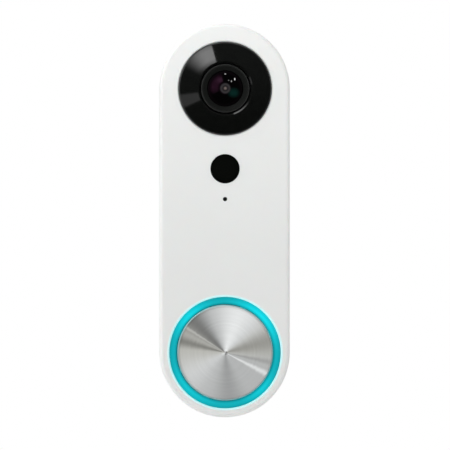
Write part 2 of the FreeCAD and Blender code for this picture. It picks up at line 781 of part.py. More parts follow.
apex_centre = D.apex_d - D.dome_rad
blank = common_obj("front_blank", sphere_obj("front_sphere", 0, apex_centre, Z0, D.dome_rad), cyl_obj("front_edge", 0, Z0, D.glass_rad, 20.4, 25.4))
node("front_lens", cut_obj("front_lens", blank, sphere_obj("front_hollow", 0, 18.62, Z0, 4.4)))
mid = common_obj("middle_lens", sphere_obj("middle_sphere", 0, 14.6, Z0, 5.9), cyl_obj("middle_edge", 0, Z0, 4.5, 18.0, 20.6))
node("middle_lens", mid)
node("rear_lens", common_obj("rear_lens", sphere_obj("rear_sphere", 0, 18.4, Z0, 5.4), cyl_obj("rear_edge", 0, Z0, 3.4, 12.8, 17.9)))

# ---------------------------------------------------------------- sensor board, lens holder, filter switcher
PIV_Z = Z0.v - 10.2  # lever pivot
ARM = 6.2
b = new_body("sensor_board")
s = sketch(b, 6.8)
rect(s, -11.2, Z0 - 17.6, 11.2, Z0 + 9.4)
pad(b, s, 1.0)
piece("image_sensor", sbox(-3.9, 3.9, 7.8, 8.9, Z0.v - 3.4, Z0.v + 3.4))

b = new_body("lens_holder")
s = sketch(b, 7.8)
rect(s, -11.2, Z0 - 13.8, 11.2, Z0 + 8.8)
pad(b, s, 5.6)
s = sketch(b, 13.4)
circle(s, 0, Z0, 7.7)
pad(b, s, 5.2)
s = sketch(b, 7.8)
rect(s, -9.9, Z0 - 12.7, 9.9, Z0 + 7.6)
cut(b, s, 4.4)
s = sketch(b, 12.2)
circle(s, 0, Z0, D.thread_rad + 0.03)
cut(b, s, 6.4)
# rails that the filter carriage slides in
s = sketch(b, 10.1)
rect(s, -9.9, Z0 + 3.95, 9.9, Z0 + 7.6)
pad(b, s, 2.1)
s = sketch(b, 10.1)
rect(s, -9.9, Z0 + 3.3, 9.9, Z0 + 3.95)
pad(b, s, 0.45)
s = sketch(b, 11.45)
rect(s, -9.9, Z0 + 3.3, 9.9, Z0 + 3.95)
rect(s, -9.9, Z0 - 6.6, 9.9, Z0 - 3.3)
pad(b, s, 0.75)

# carriage: two windows side by side, moved by the lever's pin in its slot
b = new_body("filter_carriage")
s = sketch(b, 10.6)
rect(s, -3.5, Z0 - 3.9, 9.7, Z0 + 3.9)
pad(b, s, 0.8)
s = sketch(b, 10.6)
rect(s, 1.3, Z0 - 6.3, 4.9, Z0 - 3.8)
pad(b, s, 0.8)
s = sketch(b, 10.6)
rect(s, -2.7, Z0 - 3.0, 2.7, Z0 + 3.0)
rect(s, 3.5, Z0 - 3.0, 8.9, Z0 + 3.0)
cut(b, s, 0.8)
s = sketch(b, 10.6)
rect(s, 3.1 - 0.78, Z0 - 5.9, 3.1 + 0.78, Z0 - 3.35)
cut(b, s, 0.8)
group("carriage_filters", [
    sbox(-2.7, 2.7, 10.75, 11.25, Z0.v - 3.0, Z0.v + 3.0),
    sbox(3.5, 8.9, 10.75, 11.25, Z0.v - 3.0, Z0.v + 3.0),
])

# lever with its magnet, leaning 30 degrees to the right at rest
lean = math.radians(30)
pin_x, pin_z = ARM * math.sin(lean), PIV_Z + ARM * math.cos(lean)
arm = sbox(-0.9, 0.9, 9.5, 10.4, PIV_Z, PIV_Z + ARM).fuse(scyl(0, PIV_Z + ARM, 0.9, 9.5, 10.4))
arm.rotate(V(0, 0, PIV_Z), V(0, 1, 0), 30)
rotor = scyl(0, PIV_Z, 2.1, 8.35, 10.4).fuse(arm).fuse(scyl(pin_x, pin_z, 0.6, 10.3, 11.4)).cut(scyl(0, PIV_Z, 0.55, 8, 11)).removeSplitter()
piece("filter_lever", rotor)
group("lever_pivot", [scyl(0, PIV_Z, 0.5, 7.8, 12.2)])
yoke = sbox(3.0, 9.2, 7.8, 10.2, PIV_Z - 1.9, PIV_Z + 1.9).cut(sbox(4.2, 8.0, 7.6, 10.5, PIV_Z - 2.0, PIV_Z + 2.0)).fuse(sbox(4.1, 8.1, 8.9, 9.6, PIV_Z - 0.5, PIV_Z + 0.5)).removeSplitter()
piece("switcher_yoke", yoke)
coil = Part.makeCylinder(1.4, 3.4, V(4.4, -9.25, PIV_Z), V(1, 0, 0)).cut(sbox(4.0, 8.2, 8.9, 9.6, PIV_Z - 0.5, PIV_Z + 0.5))
piece("switcher_coil", coil)

# ---------------------------------------------------------------- motion sensor and microphone
b = new_body("motion_lens", D.pir_z)
revolve(b, [
    (19.4, 4.1), (19.4, 6.2), (20.7, 6.2), (20.7, 4.67), (22.35, 4.67), (22.6, 4.6), (22.78, 4.2), (22.95, 3.2), (23.06, 1.8), (23.1, 0),
    (22.45, 0), (22.4, 1.8), (22.3, 3.2), (22.1, 4.1),
])
can = srev([(15.8, 0), (15.8, 3.95), (16.2, 3.95), (16.2, 3.75), (18.9, 3.75), (19.1, 3.55), (19.1, 0)], 0, 17.0).cut(sbox(-1.6, 1.6, 18.7, 19.3, 15.8, 18.2))
piece("motion_sensor", can)
b = new_body("microphone_boot", D.mic_z)
revolve(b, [(16.8, 0.6), (16.8, 2.0), (18.0, 2.0), (18.0, 2.45), (19.4, 2.45), (19.4, 3.2), (20.0, 3.2), (20.0, 2.2), (20.75, 2.2), (20.75, 0.6)])

# ---------------------------------------------------------------- main board
b = new_body("main_board")
s = sketch(b, D.main_d)
rect(s, -15.6, -22.8, 15.6, 27.4)
pad(b, s, D.main_thk)
s = sketch(b, D.main_d)
circle(s, 15.65, 0, 3.0)
circle(s, -15.65, 0, 3.0)
for x, z in MAIN_SCREWS:
    circle(s, x, z, 1.15)
cut(b, s, D.main_thk)
m1 = D.main_d.v + D.main_thk.v
shield = sbox(-9.0, 9.0, m1, m1 + 1.5, -18.6, -1.6).cut(sbox(-8.8, 8.8, m1 - 1, m1 + 1.3, -18.4, -1.8))
piece("processor_shield", shield)
wifi = sbox(-14.4, -5.6, m1, m1 + 0.5, 9.0, 22.0).fuse(sbox(-14.1, -5.9, m1 + 0.5, m1 + 1.7, 9.3, 20.0))
piece("wireless_module", wifi)
chips = [
    sbox(-5.5, 5.5, m1, m1 + 0.95, -15.6, -4.6),
    sbox(6.2, 14.2, m1, m1 + 0.9, 10.0, 21.0),
    sbox(-1.7, 1.7, m1, m1 + 1.0, 5.7, 8.3),
]
for x, z, w, h, t in (
    (9.6, 4.6, 3.4, 3.4, 0.9), (-9.4, 4.6, 3.0, 3.0, 0.9), (6.0, 4.6, 1.2, 2.0, 0.8), (-5.6, 5.8, 1.2, 2.0, 0.8), (-5.6, 3.0, 1.2, 2.0, 0.8),
    (12.2, -8.0, 2.0, 4.0, 1.2), (12.2, -13.6, 2.0, 4.0, 1.2), (-12.2, -8.0, 2.4, 3.2, 1.1), (-12.2, -13.0, 1.6, 3.0, 0.9), (11.6, 7.6, 1.0, 1.6, 0.5),
    (6.3, 24.2, 1.6, 0.9, 0.5), (8.4, 24.2, 1.6, 0.9, 0.5), (-6.3, 24.2, 1.6, 0.9, 0.5), (-8.4, 24.2, 1.6, 0.9, 0.5), (0.0, 0.9, 3.0, 1.4, 0.7),
):
    chips.append(sbox(x - w / 2, x + w / 2, m1, m1 + t, z - h / 2, z + h / 2))
group("main_board_parts", chips)

# ribbon sockets on the boards
sock = lambda x0, x1, d0, d1, z0, z1: sbox(x0, x1, d0, d1, z0, z1)
group("board_sockets", [
    sock(4.5, 6.9, 12.5, 14.6, -16.8, -13.6),
    sock(-5.4, 5.4, 7.8, 9.1, Z0.v - 17.2, Z0.v - 14.2).cut(sbox(-4.6, 4.6, 8.25, 8.55, Z0.v - 17.3, Z0.v - 15.0)),
    sock(-5.4, 5.4, 13.4, 14.6, 20.6, 23.6).cut(sbox(-4.6, 4.6, 13.95, 14.25, 21.4, 23.7)),
    sock(-4.4, 4.4, 13.4, 14.6, -20.6, -17.8).cut(sbox(-3.6, 3.6, 13.85, 14.15, -20.7, -18.6)),
    sock(-4.4, 4.4, 14.8, 16.0, -31.4, -28.6).cut(sbox(-3.6, 3.6, 15.25, 15.55, -29.4, -28.5)),
])
strip("camera_ribbon", [(8.4, Z0.v - 15.0), (8.4, 24.6), (14.1, 24.6), (14.1, 21.4)], 0.8, 0.16, -4.4, 4.4)
strip("button_ribbon", [(14.0, -18.6), (14.0, -24.2), (15.4, -26.2), (15.4, -29.4)], 0.9, 0.16, -3.4, 3.4)

# ---------------------------------------------------------------- power board
b = new_body("power_board")
s = sketch(b, D.pow_d)
rect(s, -13.0, -21.6, 13.0, 20.4)
pad(b, s, 1.2)
s = sketch(b, D.pow_d)
for x, z in TERMINALS:
    circle(s, x, z, 2.75)
for x, z in ((10.5, 17.6), (-10.5, 17.6), (10.5, -19.0), (-10.5, -19.0)):
    circle(s, x, z, 1.15)
cut(b, s, 1.2)
p1 = 9.6
group("power_board_parts", [
    sbox(-12.0, -5.5, p1, p1 + 2.4, 2.0, 8.5),
    sbox(5.2, 12.2, p1, p1 + 3.0, 1.4, 8.4),
    sbox(-3.2, 3.2, p1, p1 + 1.6, 1.0, 6.0),
    sbox(-2.2, 2.2, p1, p1 + 1.6, -19.5, -14.5),
    sbox(-12.4, -9.6, p1, p1 + 1.8, -14.6, -10.2),
    sbox(10.2, 12.4, p1, p1 + 1.8, -14.6, -9.6),
    sbox(-8.0, -4.6, p1, p1 + 1.2, -16.6, -13.4),
    sbox(4.6, 8.0, p1, p1 + 1.2, -16.6, -13.4),
    sbox(2.6, 7.8, p1, p1 + 3.2, 10.2, 15.4).fuse(scyl(5.2, 12.8, 2.3, p1 + 3.2, p1 + 3.4)),
])
caps = []
for x in (-8.6, -3.6):
    c = Part.makeCylinder(1.95, 6.4, V(x, -(p1 + 1.95), 8.9), V(0, 0, 1))
    caps.append(c.cut(Part.makeTorus(2.15, 0.32, V(x, -(p1 + 1.95), 10.0), V(0, 0, 1))))
group("capacitors", caps)
piece("board_connector", sbox(8.6, 12.4, p1, D.main_d.v, -6.4, 0.4))
group("terminal_inserts", [scyl(x, z, 2.55, 6.2, 10.0).cut(scyl(x, z, 1.62, 6.0, 10.2)) for x, z in TERMINALS])
group("terminal_plates", [sbox(x - 4.2, x + 4.2, 5.4, 6.2, z - 4.0, z + 4.0).cut(scyl(x, z, 1.75, 5.0, 6.4)) for x, z in TERMINALS])
term = screw(3.3, 1.7, 1.6, 5.6, 0.62)
group("terminal_screws", [facing(term, x, 3.7, z, BACKWARD) for x, z in TERMINALS])

# ---------------------------------------------------------------- speaker
b = new_body("speaker_gasket", SPEAKER_Z)
revolve(b, [(5.2, 9.6), (5.2, 12.3), (6.2, 12.3), (6.2, 9.6)])
b = new_body("speaker_frame", SPEAKER_Z)
revolve(b, [(6.2, 10.9), (6.2, 12.6), (7.4, 12.6), (9.6, 9.4), (9.6, 5.4), (8.9, 5.4), (8.9, 8.8), (7.2, 10.9)])
b = new_body("speaker_cone", SPEAKER_Z)
revolve(b, [(6.3, 10.9), (6.3, 10.3), (6.0 + 1.1, 8.8), (8.3, 3.6), (7.5, 1.8), (7.2, 0), (7.35, 0), (7.65, 1.75), (8.55, 3.7), (7.3, 8.95), (6.6, 10.4), (6.6, 10.9)])
b = new_body("speaker_magnet", SPEAKER_Z)
revolve(b, [(9.6, 0), (9.6, 7.0), (11.6, 7.0), (11.9, 6.7), (11.9, 0)])

# ---------------------------------------------------------------- button
b = new_body("button_board")
s = sketch(b, D.led_d)
circle(s, 0, ZB, 16.7)
pad(b, s, 1.0)
s = sketch(b, D.led_d)
circle(s, 11.4, -54.4, 2.9)
circle(s, -11.4, -54.4, 2.9)
for x, z in LED_SCREWS:
    circle(s, x, ZB + z, 1.05)
cut(b, s, 1.0)
lights = []
for k in range(8):
    a = math.radians(22.5 + 45 * k)
    lights.append(sbox(15.9 * math.cos(a) - 0.8, 15.9 * math.cos(a) + 0.8, 17.0, 17.7, ZB.v + 15.9 * math.sin(a) - 0.7, ZB.v + 15.9 * math.sin(a) + 0.7))
group("ring_leds", lights)
b = new_body("light_ring", ZB)
revolve(b, [
    (19.4, D.ring_in), (19.4, 18.9), (20.7, 18.9), (20.7, D.ring_out), (D.ring_d - 0.18, D.ring_out), (D.ring_d, D.ring_out - 0.18),
    (D.ring_d, D.ring_in + 0.18), (D.ring_d - 0.18, D.ring_in),
])
s = sketch(b, 17.8)
for k in range(8):
    a = math.radians(22.5 + 45 * k)
    circle(s, D.led_pcr * math.cos(a), D.led_pcr * math.sin(a), 0.95)
pad(b, s, 1.65)
body_sw = sbox(-3.1, 3.1, 17.0, 18.7, ZB.v - 3.1, ZB.v + 3.1).cut(scyl(0, ZB.v, 1.85, 17.6, 19.0))
piece("switch_body", body_sw)
b = new_body("switch_plunger", ZB)
revolve(b, [(18.2, 0), (18.2, 1.75), (19.45, 1.75), (19.6, 1.6), (19.6, 0)])
b = new_body("button_seal", ZB)
revolve(b, [
    (19.4, 8.6), (19.4, 10.0), (20.0, 10.0), (20.0, 9.0), (19.95, 8.4), (20.45, 3.9), (20.6, 3.7), (20.6, 2.7), (20.1, 2.7), (20.1, 3.7), (19.6, 8.2),
])
b = new_body("button_carrier", ZB)
s = sketch(b, 20.6)
circle(s, 0, 0, 14.95)
pad(b, s, 1.35)
s = sketch(b, 19.65)
circle(s, 0, 0, 2.3)
pad(b, s, 0.95)
s = sketch(b, 17.9)
for a in (90, 210, 330):
    circle(s, D.post_pcr * math.cos(math.radians(a)), D.post_pcr * math.sin(math.radians(a)), 1.45)
pad(b, s, 2.7)
b = new_body("button_cap", ZB)
revolve(b, [
    (20.9, 15.02), (20.9, D.cap_rad), (D.cap_d - 0.32, D.cap_rad), (D.cap_d - 0.08, D.cap_rad - 0.14), (D.cap_d, D.cap_rad - 0.42),
    (D.cap_d - 0.06, D.cap_rad - 1.0), (22.6, 8.0), (22.56, 0), (21.95, 0), (21.95, 15.02),
])

# ---------------------------------------------------------------- antenna and wires
piece("wireless_antenna", sbox(-17.7, -17.5, 8.4, 14.6, 5.0, 30.0).fuse(sbox(-17.7, -13.6, 14.4, 14.6, 18.4, 21.4)).removeSplitter())
group("speaker_wires", [
    wire_tube([(x, 9.6, -31.9), (x, 11.0, -31.9), (x, 13.2, -27.0), (x, 13.2, -16.8)], 0.4, 0.9) for x in (5.0, 6.2)
])

# ---------------------------------------------------------------- screws
hs = screw(1.9, 1.1, 1.08, 13.0)
group("housing_screws", [facing(hs, x, 3.6, z, BACKWARD) for x, z in BOSSES])
ms = screw(1.7, 0.9, 0.82, 3.6)
group("board_screws", [facing(ms, x, D.main_d.v - 0.9, z, BACKWARD) for x, z in MAIN_SCREWS] + [
    facing(ms, x, 10.5, z, FORWARD) for x, z in ((10.5, 17.6), (-10.5, 17.6), (10.5, -19.0), (-10.5, -19.0))
])
ls = screw(1.4, 0.8, 0.72, 2.4)
group("button_board_screws", [facing(ls, x, 15.2, ZB.v + z, BACKWARD) for x, z in LED_SCREWS])
sec = screw(2.6, 1.6, 1.5, 6.9, 0.55)
sec_s = sec.copy()
sec_s.Placement = FreeCAD.Placement(V(0, -4.8, -63.8), FreeCAD.Rotation(V(1, 0, 0), 180))
piece("security_screw", sec_s)

# ---------------------------------------------------------------- write
doc.recompute()
for o in doc.Objects:
    bad = [x for x in o.State if x in ("Invalid", "Error")]
    if bad:
        raise RuntimeError("%s is %s" % (o.Label, bad))
os.makedirs("parts", exist_ok=True)
for old in os.listdir("parts"):
    if old.endswith(".step"):
        os.remove(os.path.join("parts", old))
names = set()
for label, obj in NODES:
    shape = obj.Shape
    if shape.isNull() or not shape.isValid() or not shape.Solids or shape.Volume <= 0:
        raise RuntimeError("%s has a bad shape" % label)
    if label in names or len(label) >= 60:
        raise RuntimeError("%s: a bad node name" % label)
    names.add(label)
    shape.exportStep("parts/%s.step" % label)
    bb = shape.BoundBox
    print("%-22s solids %2d  vol %9.2f  x %6.2f..%6.2f  d %6.2f..%6.2f  z %7.2f..%7.2f" % (
        label, len(shape.Solids), shape.Volume, bb.XMin, bb.XMax, -bb.YMax, -bb.YMin, bb.ZMin, bb.ZMax))
if len(names) > 60:
    raise RuntimeError("too many nodes: %d" % len(names))
print("nodes", len(names))
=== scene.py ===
import math

import bmesh
import bpy
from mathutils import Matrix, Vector


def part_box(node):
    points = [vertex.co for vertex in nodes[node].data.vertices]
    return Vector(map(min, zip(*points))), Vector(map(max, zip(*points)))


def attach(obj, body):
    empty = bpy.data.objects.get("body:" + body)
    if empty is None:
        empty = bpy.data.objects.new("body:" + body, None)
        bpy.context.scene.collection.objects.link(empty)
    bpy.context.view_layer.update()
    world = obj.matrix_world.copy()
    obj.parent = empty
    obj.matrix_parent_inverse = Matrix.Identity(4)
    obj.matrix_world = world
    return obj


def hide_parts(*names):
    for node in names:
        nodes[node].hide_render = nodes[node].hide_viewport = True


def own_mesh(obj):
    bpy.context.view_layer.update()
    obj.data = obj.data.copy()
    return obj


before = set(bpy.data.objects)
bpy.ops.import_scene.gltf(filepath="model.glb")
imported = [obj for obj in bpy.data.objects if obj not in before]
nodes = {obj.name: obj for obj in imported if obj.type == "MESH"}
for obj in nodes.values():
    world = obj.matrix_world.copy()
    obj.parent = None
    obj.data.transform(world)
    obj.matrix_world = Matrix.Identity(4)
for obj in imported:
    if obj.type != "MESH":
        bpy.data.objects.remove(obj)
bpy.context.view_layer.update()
scene = bpy.context.scene
scene.view_settings.view_transform = "Standard"
scene.view_settings.look = "None"
scene.view_settings.exposure = 0.0
scene.view_settings.gamma = 1.0


def centre(node):
    lo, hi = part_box(node)
    return Vector([(lo[i] + hi[i]) / 2 for i in range(3)])


CAM_Z = centre("camera_window").z
BTN_Z = centre("button_cap").z
PIR_Z = centre("motion_lens").z


# ------------------------------------------------------------ node helpers
def lin(r, g=None, b=None):
    """An sRGB colour, 0 to 255, as linear RGBA."""
    if g is None:
        g = b = r
    out = []
    for v in (r, g, b):
        c = v / 255.0
        out.append(c / 12.92 if c <= 0.04045 else ((c + 0.055) / 1.055) ** 2.4)
    return (out[0], out[1], out[2], 1.0)


class Mat:
    """A Principled material whose nodes work in the object's own space, in metres."""

    def __init__(self, name, **plain):
        self.m = bpy.data.materials.new(name)
        self.m.use_nodes = True
        self.nt = self.m.node_tree
        self.p = self.nt.nodes["Principled BSDF"]
        for k, v in plain.items():
            self.set(k, v)

    def set(self, key, v):
        self.p.inputs[key.replace("_", " ")].default_value = v

    def add(self, kind, **props):
        n = self.nt.nodes.new("ShaderNode" + kind)
        for k, v in props.items():
            setattr(n, k, v)
        return n

    def link(self, a, b):
        self.nt.links.new(a, b)

    def put(self, sock, v):
        if isinstance(v, bpy.types.NodeSocket):
            self.link(v, sock)
        elif isinstance(v, (tuple, list, Vector)):
            sock.default_value = tuple(v)
        else:
            sock.default_value = v

    def pos(self):
        if not hasattr(self, "_pos"):
            self._pos = self.add("TexCoord").outputs["Object"]
        return self._pos

    def math(self, op, a, b=0.0, c=0.0, clamp=False):
        n = self.add("Math", operation=op, use_clamp=clamp)
        self.put(n.inputs[0], a)
        self.put(n.inputs[1], b)
        self.put(n.inputs[2], c)
        return n.outputs[0]

    def vec(self, op, a, b=(0, 0, 0)):
        n = self.add("VectorMath", operation=op)
        self.put(n.inputs[0], a)
        if op == "SCALE":
            self.put(n.inputs["Scale"], b)
        else:
            self.put(n.inputs[1], b)
        return n.outputs["Value"] if op in ("LENGTH", "DOT_PRODUCT") else n.outputs[0]

    def sep(self, v):
        n = self.add("SeparateXYZ")
        self.link(v, n.inputs[0])
        return n.outputs

    def comb(self, x, y, z):
        n = self.add("CombineXYZ")
        for s, v in zip(n.inputs, (x, y, z)):
            self.put(s, v)
        return n.outputs[0]

    def noise(self, vector, scale, detail=2.0, rough=0.5, dims="3D"):
        n = self.add("TexNoise", noise_dimensions=dims)
        if dims == "1D":
            self.put(n.inputs["W"], vector)
        else:
            self.link(vector, n.inputs["Vector"])
        n.inputs["Scale"].default_value = scale
        n.inputs["Detail"].default_value = detail
        n.inputs["Roughness"].default_value = rough
        return n.outputs[0]

    def range(self, v, a, b, c, d, clamp=True, smooth=False):
        n = self.add("MapRange", clamp=clamp)
        if smooth:
            n.interpolation_type = "SMOOTHSTEP"
        self.put(n.inputs["Value"], v)
        for k, x in (("From Min", a), ("From Max", b), ("To Min", c), ("To Max", d)):
            self.put(n.inputs[k], x)
        return n.outputs[0]

    def mix(self, f, a, b, mode="MIX"):
        n = self.add("Mix", data_type="RGBA", blend_type=mode)
        self.put(n.inputs[0], f)
        self.put(n.inputs[6], a)
        self.put(n.inputs[7], b)
        return n.outputs[2]

    def ramp(self, f, stops, interp="LINEAR"):
        n = self.add("ValToRGB")
        r = n.color_ramp
        r.interpolation = interp
        while len(r.elements) > 1:
            r.elements.remove(r.elements[-1])
        r.elements[0].position = stops[0][0]
        r.elements[0].color = stops[0][1]
        for p, c in stops[1:]:
            e = r.elements.new(p)
            e.color = c
        self.put(n.inputs[0], f)
        return n.outputs[0]

    def bump(self, height, strength=0.2, distance=0.0002):
        n = self.add("Bump")
        n.inputs["Strength"].default_value = strength
        n.inputs["Distance"].default_value = distance
        self.link(height, n.inputs["Height"])
        self.link(n.outputs[0], self.p.inputs["Normal"])
        return n

    def radius(self, cx, cz):
        """Distance from the axis along Y through (cx, cz)."""
        d = self.vec("SUBTRACT", self.pos(), (cx, 0, cz))
        s = self.sep(d)
        flat = self.comb(s[0], 0.0, s[2])
        return self.vec("LENGTH", flat), s

    def clock(self, s):
        """0 to 1 round the axis, from 12 o'clock, clockwise as seen from the front."""
        a = self.math("ARCTAN2", s[0], s[2])
        a = self.math("DIVIDE", a, 2 * math.pi)
        return self.math("FRACT", self.math("ADD", a, 1.0))


def plastic(name, rgb, rough=0.5, grain=5200.0, depth=0.00004, strength=0.25, tone=0.04, rvar=0.06, spec=0.5, coat=0.0, dust=0.0):
    """Moulded plastic: a fine spark-eroded grain, faint tone drift and uneven gloss."""
    m = Mat(name, Roughness=rough, IOR=1.49)
    m.set("Specular IOR Level", spec)
    if coat:
        m.set("Coat Weight", coat)
        m.set("Coat Roughness", 0.08)
    soft = m.noise(m.pos(), 55.0, 3.0)
    fine = m.noise(m.pos(), grain, 2.0, 0.6)
    k = m.range(soft, 0.3, 0.7, 1.0 - tone, 1.0 + tone)
    k = m.math("MULTIPLY", k, m.range(fine, 0.3, 0.7, 1.0 - tone * 0.4, 1.0 + tone * 0.4))
    col = m.vec("SCALE", tuple(rgb[:3]), k)
    m.link(col, m.p.inputs["Base Color"])
    r = m.range(m.noise(m.pos(), 160.0, 4.0, 0.6), 0.3, 0.7, rough - rvar, rough + rvar)
    m.link(r, m.p.inputs["Roughness"])
    m.bump(fine, strength, depth)
    return m.m


def metal(name, rgb, rough=0.3, scratch=(900.0, 60.0, 900.0), depth=0.00002, tone=0.06, aniso=0.0, dark=None):
    """Worked metal: drawn scratches, tone drift and a little tarnish."""
    m = Mat(name, Metallic=1.0, Roughness=rough)
    m.set("Anisotropic", aniso)
    stretched = m.vec("MULTIPLY", m.pos(), scratch)
    lines = m.noise(stretched, 6.0, 4.0, 0.65)
    drift = m.noise(m.pos(), 240.0, 3.0)
    k = m.math("MULTIPLY", m.range(lines, 0.25, 0.75, 1.0 - tone, 1.0 + tone), m.range(drift, 0.3, 0.7, 0.94, 1.04))
    col = m.vec("SCALE", tuple(rgb[:3]), k)
    if dark:
        spots = m.range(m.noise(m.pos(), 700.0, 3.0, 0.7), 0.56, 0.72, 0.0, 0.7)
        col = m.mix(spots, col, dark)
    m.link(col, m.p.inputs["Base Color"])
    m.link(m.range(lines, 0.25, 0.75, max(0.04, rough - 0.08), rough + 0.1), m.p.inputs["Roughness"])
    m.bump(lines, 0.25, depth)
    return m.m


def soft_rubber(name, rgb, rough=0.75):
    m = Mat(name, Roughness=rough)
    m.set("Specular IOR Level", 0.3)
    m.set("Sheen Weight", 0.15)
    n = m.noise(m.pos(), 1900.0, 4.0, 0.7)
    col = m.vec("SCALE", tuple(rgb[:3]), m.range(n, 0.3, 0.7, 0.86, 1.12))
    m.link(col, m.p.inputs["Base Color"])
    m.link(m.range(n, 0.3, 0.7, rough - 0.08, rough + 0.1), m.p.inputs["Roughness"])
    m.bump(n, 0.5, 0.00006)
    return m.m


def board(name, mask, trace, gold=(0.62, 0.44, 0.14)):
    """A circuit board: solder mask over copper traces, with plated vias."""
    m = Mat(name, IOR=1.5)
    m.set("Coat Weight", 0.4)
    m.set("Coat Roughness", 0.15)
    s = m.sep(m.pos())
    flat = m.comb(s[0], s[2], 0.0)
    brick = m.add("TexBrick", offset=0.5, squash=1.0)
    m.link(flat, brick.inputs["Vector"])
    brick.inputs["Scale"].default_value = 420.0
    brick.inputs["Mortar Size"].default_value = 0.035
    brick.inputs["Mortar Smooth"].default_value = 0.1
    brick.inputs["Brick Width"].default_value = 1.4
    brick.inputs["Row Height"].default_value = 0.5
    v = m.add("TexVoronoi", voronoi_dimensions="2D", feature="F1")
    m.link(flat, v.inputs["Vector"])
    v.inputs["Scale"].default_value = 520.0
    via = m.range(v.outputs["Distance"], 0.10, 0.14, 1.0, 0.0)
    area = m.range(m.noise(m.pos(), 190.0, 1.0), 0.47, 0.5, 0.0, 1.0)
    t = m.math("MULTIPLY", m.math("SUBTRACT", 1.0, brick.outputs["Fac"]), area)
    n = m.noise(m.pos(), 90.0, 2.0)
    base = m.mix(m.range(n, 0.3, 0.7, 0.0, 1.0), tuple(c * 0.88 for c in mask[:3]) + (1.0,), tuple(min(1.0, c * 1.1) for c in mask[:3]) + (1.0,))
    col = m.mix(t, base, trace)
    col = m.mix(via, col, gold + (1.0,))
    m.link(col, m.p.inputs["Base Color"])
    m.link(m.range(via, 0.0, 1.0, 0.38, 0.22), m.p.inputs["Roughness"])
    m.bump(m.math("ADD", t, via), 0.3, 0.00002)
    return m.m


# ------------------------------------------------------------ special materials
def band_of(m, v, lo0, lo1, hi0, hi1):
    """A soft-edged window on a value: 0 below lo0, 1 from lo1 to hi0, 0 above hi1."""
    return m.math("MULTIPLY", m.range(v, lo0, lo1, 0.0, 1.0, smooth=True), m.range(v, hi0, hi1, 1.0, 0.0, smooth=True))


def shell_white():
    """The faceplate: warm-neutral white with a fine satin grain, and a painted cyan glow of the light ring on the edge
    of its opening.
    """
    m = Mat("satin_white", IOR=1.49)
    m.set("Specular IOR Level", 0.4)
    m.set("Subsurface Weight", 0.08)
    m.set("Subsurface Scale", 0.002)
    fine = m.noise(m.pos(), 6800.0, 2.0, 0.6)
    mid = m.noise(m.pos(), 38.0, 2.0)
    k = m.math("MULTIPLY", m.range(mid, 0.3, 0.7, 0.992, 1.006), m.range(fine, 0.3, 0.7, 0.992, 1.008))
    col = m.vec("SCALE", (0.814, 0.824, 0.812), k)
    # painted light: the light ring's cyan glow on the edge of the opening, tinted into the base colour and also emitted
    r, s = m.radius(0.0, BTN_Z)
    painted_ring_glow = m.math("MULTIPLY", m.range(r, 0.0184, 0.0191, 1.0, 0.0, smooth=True), m.math("GREATER_THAN", m.math("MULTIPLY", s[1], -1.0), 0.02205))
    col = m.mix(painted_ring_glow, col, (0.66, 0.93, 0.93, 1))
    m.link(col, m.p.inputs["Base Color"])
    m.link(m.mix(painted_ring_glow, (0, 0, 0, 1), (0.12, 0.78, 0.80, 1)), m.p.inputs["Emission Color"])
    m.set("Emission Strength", 0.22)
    m.link(m.range(fine, 0.25, 0.75, 0.40, 0.52), m.p.inputs["Roughness"])
    m.bump(fine, 0.16, 0.00003)
    return m.m


def window_black():
    """Infrared-passing polycarbonate: deep black, polished, with the faintest orange peel."""
    m = Mat("window_gloss_black", IOR=1.5)
    m.set("Specular IOR Level", 0.5)
    n = m.noise(m.pos(), 420.0, 2.0)
    fine = m.noise(m.pos(), 2600.0, 2.0)
    col = m.mix(m.range(n, 0.3, 0.7, 0.0, 1.0), (0.0016, 0.0020, 0.0017, 1), (0.0026, 0.0031, 0.0026, 1))
    m.link(col, m.p.inputs["Base Color"])
    m.link(m.range(fine, 0.3, 0.7, 0.045, 0.075), m.p.inputs["Roughness"])
    m.bump(n, 0.02, 0.00002)
    return m.m


def lens_metal(name, rgb, rough, edge_highlight_paint=0.0):
    """Black anodised aluminium, turned: fine rings round the lens axis."""
    m = Mat(name, Metallic=0.0, Roughness=rough, IOR=1.5)
    m.set("Specular IOR Level", 0.08)
    r, s = m.radius(0.0, CAM_Z)
    rings = m.noise(m.math("MULTIPLY", r, 9000.0), 1.0, 3.0, 0.6, "1D")
    fine = m.noise(m.pos(), 5200.0, 2.0)
    col = m.vec("SCALE", tuple(rgb), m.math("MULTIPLY", m.range(rings, 0.3, 0.7, 0.88, 1.12), m.range(fine, 0.3, 0.7, 0.94, 1.06)))
    # painted highlight: the outer chamfer is painted a lighter grey so it reads as a lit edge; the real lamps light it
    # unevenly round the ring
    col = m.mix(m.range(r, 0.00760, 0.00766, 0.0, edge_highlight_paint), col, (0.05, 0.052, 0.05, 1))
    m.link(col, m.p.inputs["Base Color"])
    m.link(m.range(rings, 0.3, 0.7, rough - 0.06, rough + 0.06), m.p.inputs["Roughness"])
    m.bump(rings, 0.12, 0.00002)
    return m.m


def spot(m, x, z, rx, rz, soft=0.5):
    """1 inside a small soft ellipse about (x, z) in metres from the lens axis, 0 outside."""
    d = m.vec("SUBTRACT", m.pos(), (x, 0, CAM_Z + z))
    d = m.vec("MULTIPLY", d, (1.0 / rx, 0.0, 1.0 / rz))
    return m.range(m.vec("LENGTH", d), 1.0 - soft, 1.0 + soft * 0.6, 1.0, 0.0, smooth=True)


